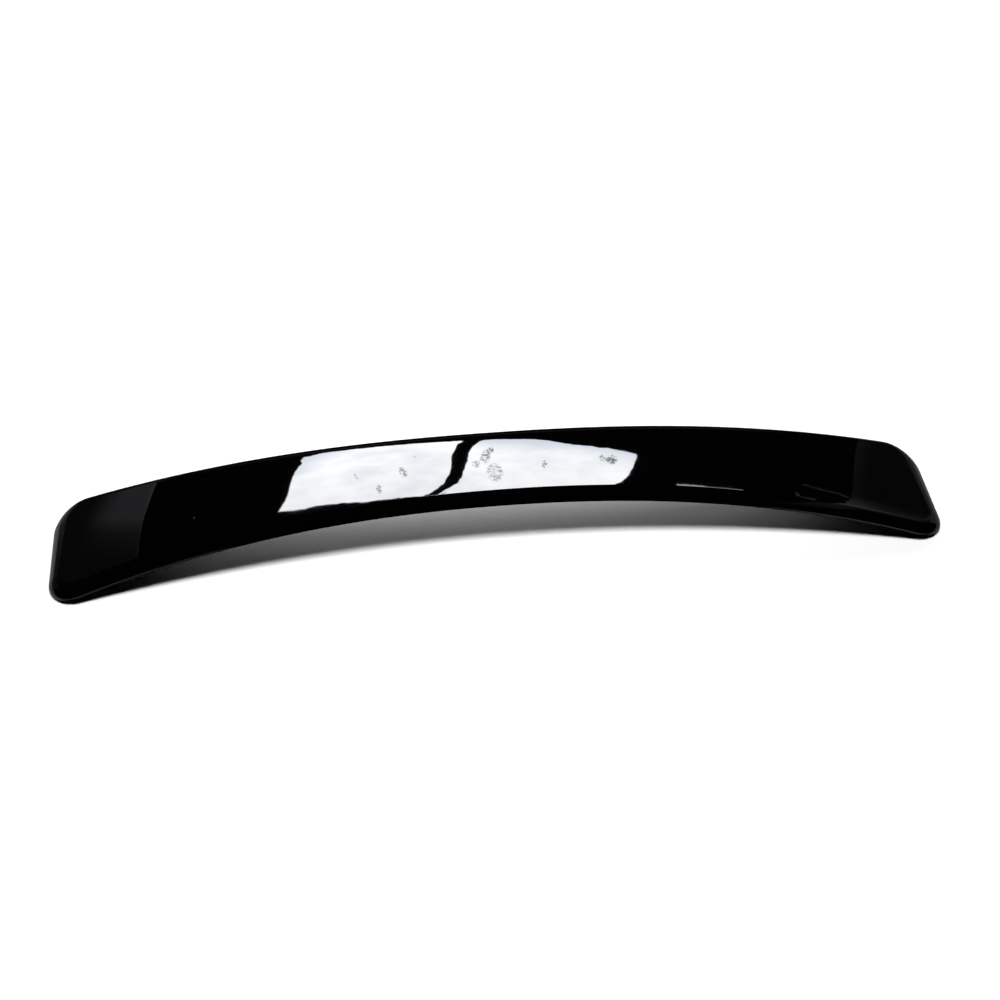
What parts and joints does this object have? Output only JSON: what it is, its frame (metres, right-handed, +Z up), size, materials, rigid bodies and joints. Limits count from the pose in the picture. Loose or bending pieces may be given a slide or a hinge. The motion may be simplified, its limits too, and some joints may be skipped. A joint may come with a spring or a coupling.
{
  "type": "roof spoiler",
  "caption": "Long arched gloss-black spoiler panel, glued along the rear edge of a car's roof, with rolled edges, blunt rounded ends and a ribbed open underside.",
  "frame": {"origin": "on the floor under the middle of the panel's box, standing on the rims of its two ends", "axes": "+X along the panel's length, +Y towards the trailing edge, +Z up"},
  "size_m": [1.1, 0.181, 0.0736],
  "materials": {
    "gloss_black": "black paint under clear lacquer on moulded ABS, bare satin plastic underneath"
  },
  "bodies": {
    "root": {"spoiler_shell": "gloss_black"}
  },
  "joints": []
}
